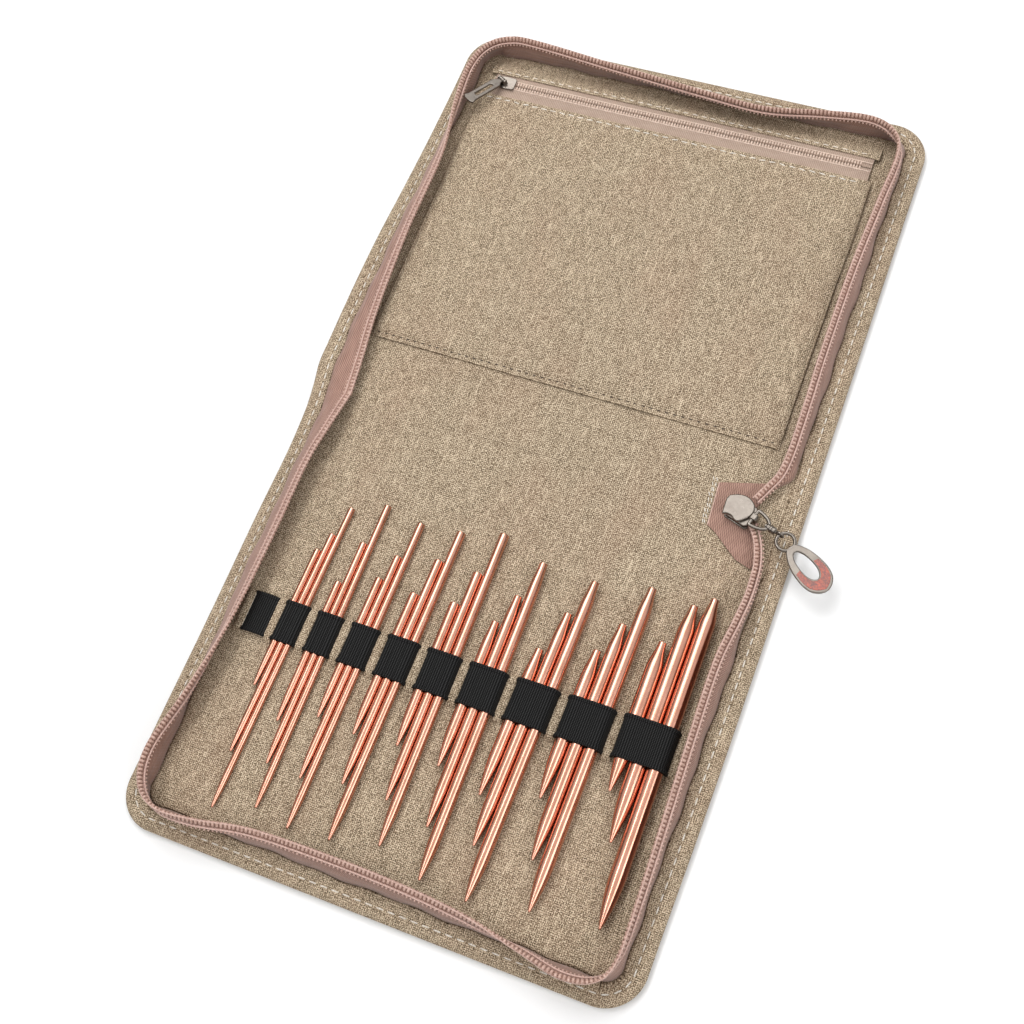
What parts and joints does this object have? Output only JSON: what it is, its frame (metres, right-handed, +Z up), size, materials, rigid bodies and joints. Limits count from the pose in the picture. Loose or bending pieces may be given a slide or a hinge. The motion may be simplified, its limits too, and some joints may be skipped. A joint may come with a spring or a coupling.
{
  "type": "interchangeable needle set",
  "caption": "Zip-round fabric case, open flat, with a black elastic sleeve of screw-on metal knitting tips in graded sizes and lengths, and a zipped pocket.",
  "frame": {"origin": "middle of the spine, on the underside that the open case rests on", "axes": "+X to the right along the spine, +Y from the needle half to the pocket half, +Z up"},
  "size_m": [0.2289, 0.386, 0.0184],
  "materials": {
    "case_fabric": "beige melange plain weave",
    "stiffener_board": "grey pressed board",
    "foam": "thin white foam",
    "zip_tape": "dusty pink twill tape",
    "pocket_tape": "greyish pink twill tape",
    "zip_coil": "pink nylon",
    "elastic": "black ribbed elastic",
    "rose_metal": "satin rose-gold plated metal",
    "nickel": "nickel plated",
    "enamel": "orange rust enamel"
  },
  "bodies": {
    "lower_cover": {"lower_shell": "case_fabric", "lower_board": "stiffener_board", "lower_padding": "foam", "lower_lining": "case_fabric", "lower_zip_tape": "zip_tape", "lower_zip_coil": "zip_coil", "elastic_band": "elastic", "lining_strips": "case_fabric"},
    "spine": {"spine_shell": "case_fabric", "spine_board": "stiffener_board", "spine_padding": "foam", "spine_lining": "case_fabric", "spine_zip_tape": "zip_tape", "spine_zip_coil": "zip_coil", "zip_end_tab": "zip_tape"},
    "upper_cover": {"upper_shell": "case_fabric", "upper_board": "stiffener_board", "upper_padding": "foam", "upper_lining": "case_fabric", "upper_zip_tape": "zip_tape", "upper_zip_coil": "zip_coil", "pocket_panel": "case_fabric", "pocket_facing": "case_fabric", "pocket_zip_tapes": "pocket_tape", "pocket_zip_teeth": "zip_coil"},
    "pocket_slider": {"pocket_slider": "nickel"},
    "pocket_tab": {"pocket_pull_tab": "nickel"},
    "main_slider": {"main_slider_body": "nickel", "main_slider_cap": "nickel"},
    "stirrup": {"pull_d_ring": "nickel"},
    "swivel": {"pull_swivel": "nickel"},
    "teardrop": {"pull_teardrop": "nickel", "pull_enamel": "enamel"},
    "tip_275_short": {"tip_275_short": "rose_metal"},
    "tip_275_medium": {"tip_275_medium": "rose_metal"},
    "tip_275_long": {"tip_275_long": "rose_metal"},
    "tip_300_short": {"tip_300_short": "rose_metal"},
    "tip_300_medium": {"tip_300_medium": "rose_metal"},
    "tip_300_long": {"tip_300_long": "rose_metal"},
    "tip_325_short": {"tip_325_short": "rose_metal"},
    "tip_325_medium": {"tip_325_medium": "rose_metal"},
    "tip_325_long": {"tip_325_long": "rose_metal"},
    "tip_375_short": {"tip_375_short": "rose_metal"},
    "tip_375_medium": {"tip_375_medium": "rose_metal"},
    "tip_375_long": {"tip_375_long": "rose_metal"},
    "tip_400_short": {"tip_400_short": "rose_metal"},
    "tip_400_medium": {"tip_400_medium": "rose_metal"},
    "tip_400_long": {"tip_400_long": "rose_metal"},
    "tip_450_short": {"tip_450_short": "rose_metal"},
    "tip_450_medium": {"tip_450_medium": "rose_metal"},
    "tip_450_long": {"tip_450_long": "rose_metal"},
    "tip_500_short": {"tip_500_short": "rose_metal"},
    "tip_500_medium": {"tip_500_medium": "rose_metal"},
    "tip_500_long": {"tip_500_long": "rose_metal"},
    "tip_550_short": {"tip_550_short": "rose_metal"},
    "tip_550_medium": {"tip_550_medium": "rose_metal"},
    "tip_550_long": {"tip_550_long": "rose_metal"},
    "tip_650_short": {"tip_650_short": "rose_metal"},
    "tip_650_medium": {"tip_650_medium": "rose_metal"},
    "tip_650_long": {"tip_650_long": "rose_metal"}
  },
  "joints": [
    {"name": "fold_lower", "type": "hinge", "parent": "lower_cover", "child": "spine", "pos_m": [0, -0.015, 0.0038], "axis": [1, 0, 0], "range_deg": [0, 90]},
    {"name": "fold_upper", "type": "hinge", "parent": "spine", "child": "upper_cover", "pos_m": [0, 0.015, 0.0038], "axis": [1, 0, 0], "range_deg": [0, 90]},
    {"name": "pocket_slider_run", "type": "slide", "parent": "upper_cover", "child": "pocket_slider", "axis": [1, 0, 0], "range_m": [0, 0.156]},
    {"name": "pocket_tab_lift", "type": "hinge", "parent": "pocket_slider", "child": "pocket_tab", "pos_m": [-0.0836, 0.1671, 0.0082], "axis": [0.879, -0.4768, 0], "range_deg": [-100, 4]},
    {"name": "main_slider_run", "type": "slide", "parent": "spine", "child": "main_slider", "axis": [1, 0, 0], "range_m": [0, 0.006]},
    {"name": "stirrup_lift", "type": "hinge", "parent": "main_slider", "child": "stirrup", "pos_m": [0.0885, -0.00242, 0.0102], "axis": [0.309, 0.9511, 0], "range_deg": [-115, 2]},
    {"name": "swivel_spin", "type": "hinge", "parent": "stirrup", "child": "swivel", "pos_m": [0.1001, -0.00619, 0.0102], "axis": [0.9511, -0.309, 0], "continuous": true},
    {"name": "teardrop_swing", "type": "hinge", "parent": "swivel", "child": "teardrop", "pos_m": [0.1001, -0.00619, 0.0102], "axis": [0.6018, 0.7986, 0], "range_deg": [-75, 3]},
    {"name": "slide_275_short", "type": "slide", "parent": "lower_cover", "child": "tip_275_short", "axis": [-0.0209, -0.9998, 0], "range_m": [-0.039, 0.003]},
    {"name": "slide_275_medium", "type": "slide", "parent": "lower_cover", "child": "tip_275_medium", "axis": [-0.0209, -0.9998, 0], "range_m": [-0.066, 0.003]},
    {"name": "slide_275_long", "type": "slide", "parent": "lower_cover", "child": "tip_275_long", "axis": [-0.0209, -0.9998, 0], "range_m": [-0.075, 0.003]},
    {"name": "slide_300_short", "type": "slide", "parent": "lower_cover", "child": "tip_300_short", "axis": [-0.0017, -1, 0], "range_m": [-0.049, 0.003]},
    {"name": "slide_300_medium", "type": "slide", "parent": "lower_cover", "child": "tip_300_medium", "axis": [-0.0017, -1, 0], "range_m": [-0.066, 0.003]},
    {"name": "slide_300_long", "type": "slide", "parent": "lower_cover", "child": "tip_300_long", "axis": [-0.0017, -1, 0], "range_m": [-0.07, 0.003]},
    {"name": "slide_325_short", "type": "slide", "parent": "lower_cover", "child": "tip_325_short", "axis": [-0.0122, -0.9999, 0], "range_m": [-0.042, 0.003]},
    {"name": "slide_325_medium", "type": "slide", "parent": "lower_cover", "child": "tip_325_medium", "axis": [-0.0122, -0.9999, 0], "range_m": [-0.067, 0.003]},
    {"name": "slide_325_long", "type": "slide", "parent": "lower_cover", "child": "tip_325_long", "axis": [-0.0122, -0.9999, 0], "range_m": [-0.073, 0.003]},
    {"name": "slide_375_short", "type": "slide", "parent": "lower_cover", "child": "tip_375_short", "axis": [-0.0122, -0.9999, 0], "range_m": [-0.044, 0.003]},
    {"name": "slide_375_medium", "type": "slide", "parent": "lower_cover", "child": "tip_375_medium", "axis": [-0.0122, -0.9999, 0], "range_m": [-0.063, 0.003]},
    {"name": "slide_375_long", "type": "slide", "parent": "lower_cover", "child": "tip_375_long", "axis": [-0.0122, -0.9999, 0], "range_m": [-0.071, 0.003]},
    {"name": "slide_400_short", "type": "slide", "parent": "lower_cover", "child": "tip_400_short", "axis": [0.0035, -1, 0], "range_m": [-0.043, 0.003]},
    {"name": "slide_400_medium", "type": "slide", "parent": "lower_cover", "child": "tip_400_medium", "axis": [0.0035, -1, 0], "range_m": [-0.063, 0.003]},
    {"name": "slide_400_long", "type": "slide", "parent": "lower_cover", "child": "tip_400_long", "axis": [0.0035, -1, 0], "range_m": [-0.066, 0.003]},
    {"name": "slide_450_short", "type": "slide", "parent": "lower_cover", "child": "tip_450_short", "axis": [0.0017, -1, 0], "range_m": [-0.045, 0.003]},
    {"name": "slide_450_medium", "type": "slide", "parent": "lower_cover", "child": "tip_450_medium", "axis": [0.0017, -1, 0], "range_m": [-0.067, 0.003]},
    {"name": "slide_450_long", "type": "slide", "parent": "lower_cover", "child": "tip_450_long", "axis": [0.0017, -1, 0], "range_m": [-0.073, 0.003]},
    {"name": "slide_500_short", "type": "slide", "parent": "lower_cover", "child": "tip_500_short", "axis": [-0.0209, -0.9998, 0], "range_m": [-0.049, 0.003]},
    {"name": "slide_500_medium", "type": "slide", "parent": "lower_cover", "child": "tip_500_medium", "axis": [-0.0209, -0.9998, 0], "range_m": [-0.068, 0.003]},
    {"name": "slide_500_long", "type": "slide", "parent": "lower_cover", "child": "tip_500_long", "axis": [-0.0209, -0.9998, 0], "range_m": [-0.074, 0.003]},
    {"name": "slide_550_short", "type": "slide", "parent": "lower_cover", "child": "tip_550_short", "axis": [-0.0122, -0.9999, 0], "range_m": [-0.043, 0.003]},
    {"name": "slide_550_medium", "type": "slide", "parent": "lower_cover", "child": "tip_550_medium", "axis": [-0.0122, -0.9999, 0], "range_m": [-0.065, 0.003]},
    {"name": "slide_550_long", "type": "slide", "parent": "lower_cover", "child": "tip_550_long", "axis": [-0.0122, -0.9999, 0], "range_m": [-0.07, 0.003]},
    {"name": "slide_650_short", "type": "slide", "parent": "lower_cover", "child": "tip_650_short", "axis": [0.0017, -1, 0], "range_m": [-0.032, 0.003]},
    {"name": "slide_650_medium", "type": "slide", "parent": "lower_cover", "child": "tip_650_medium", "axis": [0.0017, -1, 0], "range_m": [-0.025, 0.003]},
    {"name": "slide_650_long", "type": "slide", "parent": "lower_cover", "child": "tip_650_long", "axis": [0.0017, -1, 0], "range_m": [-0.017, 0.003]}
  ],
  "couplings": [
    {"joint": "fold_upper", "follows": "fold_lower", "ratio": 1}
  ]
}
